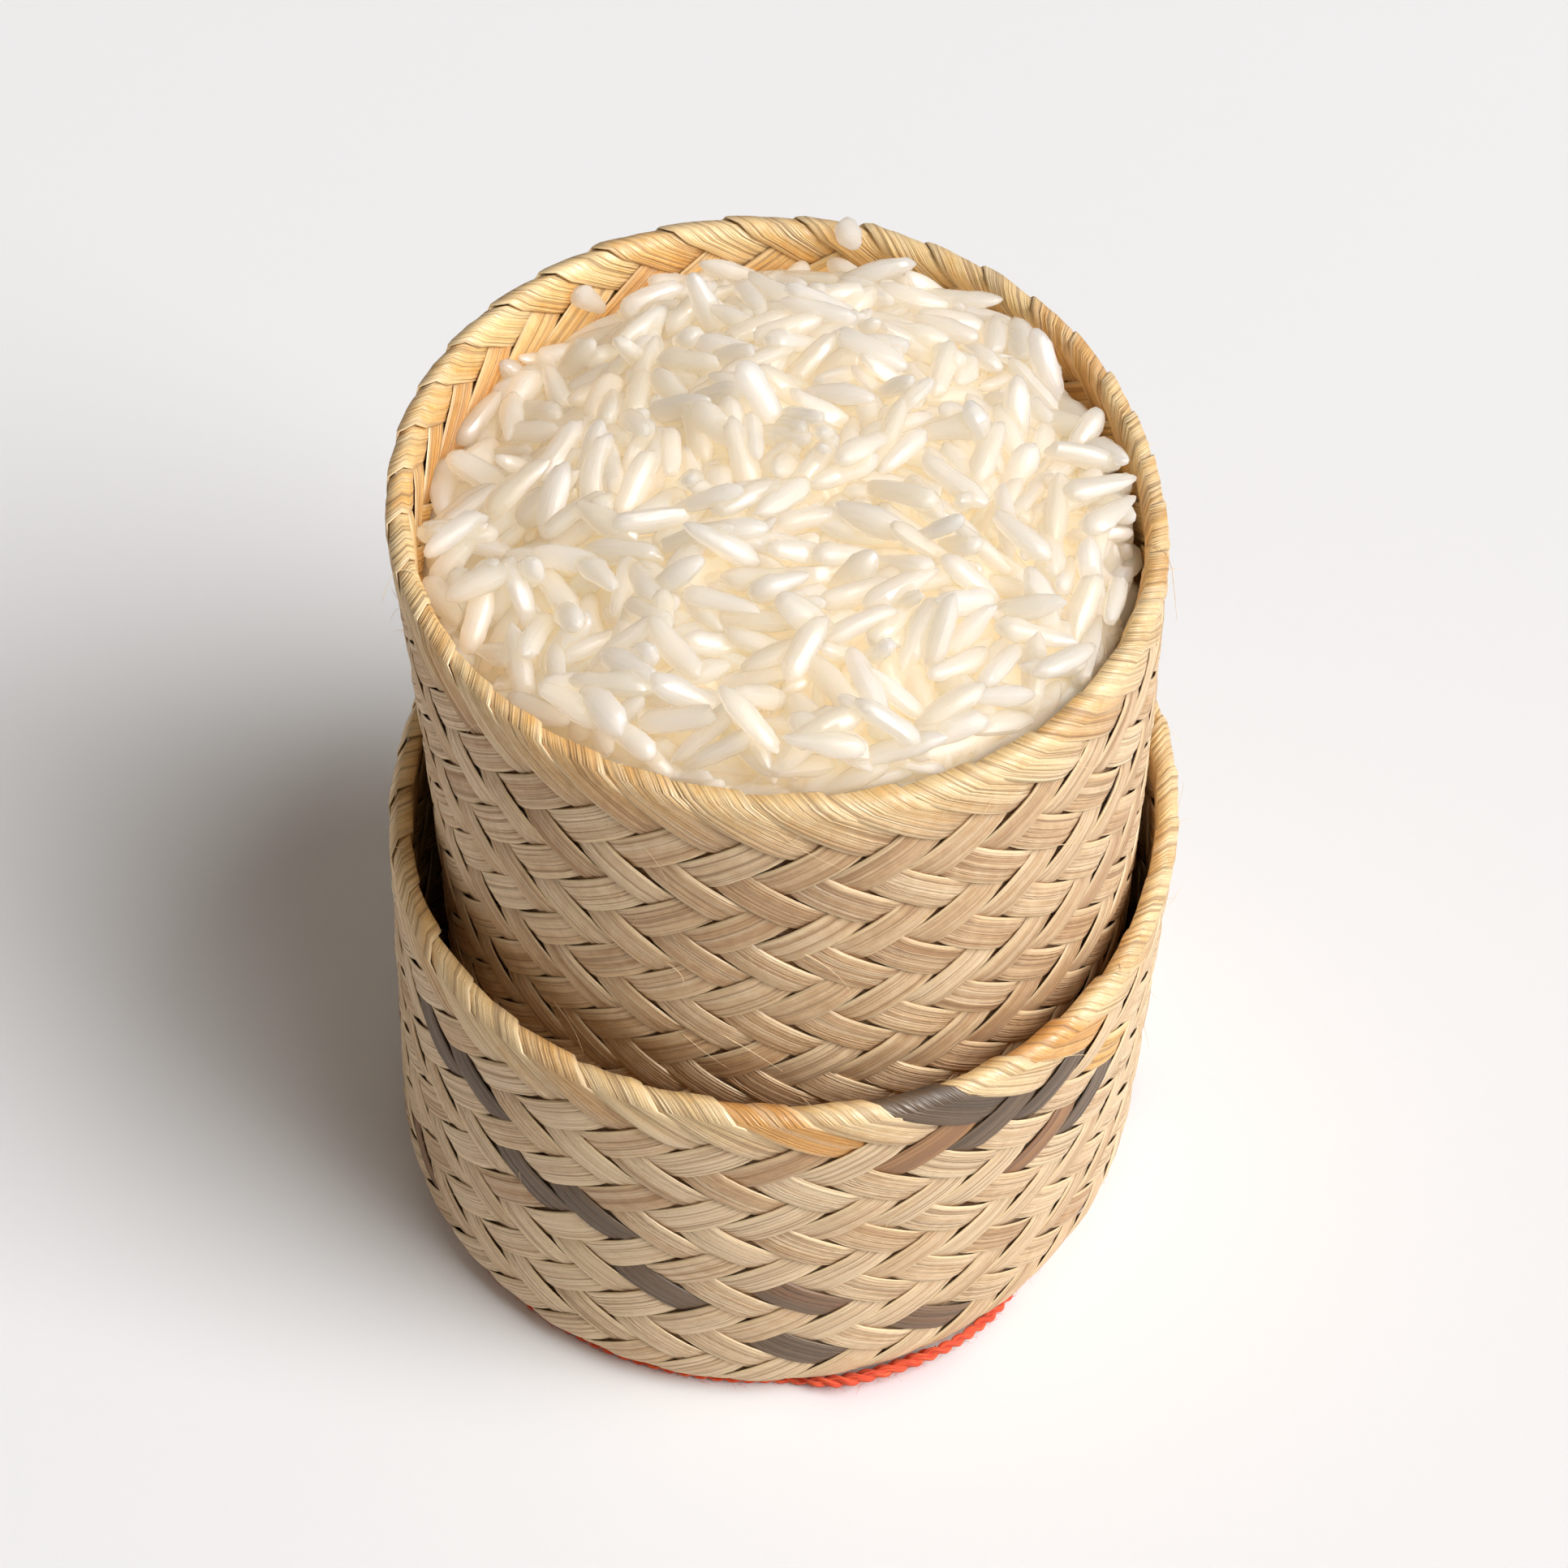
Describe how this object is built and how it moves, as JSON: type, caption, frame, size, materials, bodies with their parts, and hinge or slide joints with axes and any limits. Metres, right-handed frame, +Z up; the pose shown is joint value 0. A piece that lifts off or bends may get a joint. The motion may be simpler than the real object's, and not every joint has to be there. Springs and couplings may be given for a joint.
{
  "type": "sticky rice basket",
  "caption": "Small plaited bamboo basket of cooked sticky rice, standing in its own upturned lid, with folded double walls, plaited discs and yarn-bound feet.",
  "frame": {"origin": "on the table, under the middle of the whole object", "axes": "+Z up, along which the basket lifts out of the lid; -Y towards the side that the picture shows at the front, +X to its right"},
  "size_m": [0.0903, 0.0958, 0.1016],
  "materials": {
    "plaited_bamboo": "split bamboo strips, dry and fibrous",
    "bamboo_disc": "split bamboo strips, dry and fibrous",
    "red_yarn": "two-ply yarn, matt",
    "cooked_rice": "moist and translucent"
  },
  "bodies": {
    "lid": {"lid_wall": "plaited_bamboo", "lid_disc": "bamboo_disc", "lid_edge_yarn": "red_yarn"},
    "basket": {"basket_wall": "plaited_bamboo", "basket_disc": "bamboo_disc", "basket_edge_yarn": "red_yarn", "stray_grain": "cooked_rice"},
    "rice": {"rice": "cooked_rice"}
  },
  "joints": [
    {"name": "basket_lift", "type": "slide", "parent": "lid", "child": "basket", "axis": [0, 0, 1], "range_m": [0, 0.06]},
    {"name": "rice_lift", "type": "slide", "parent": "basket", "child": "rice", "axis": [0, 0, 1], "range_m": [0, 0.098]}
  ]
}
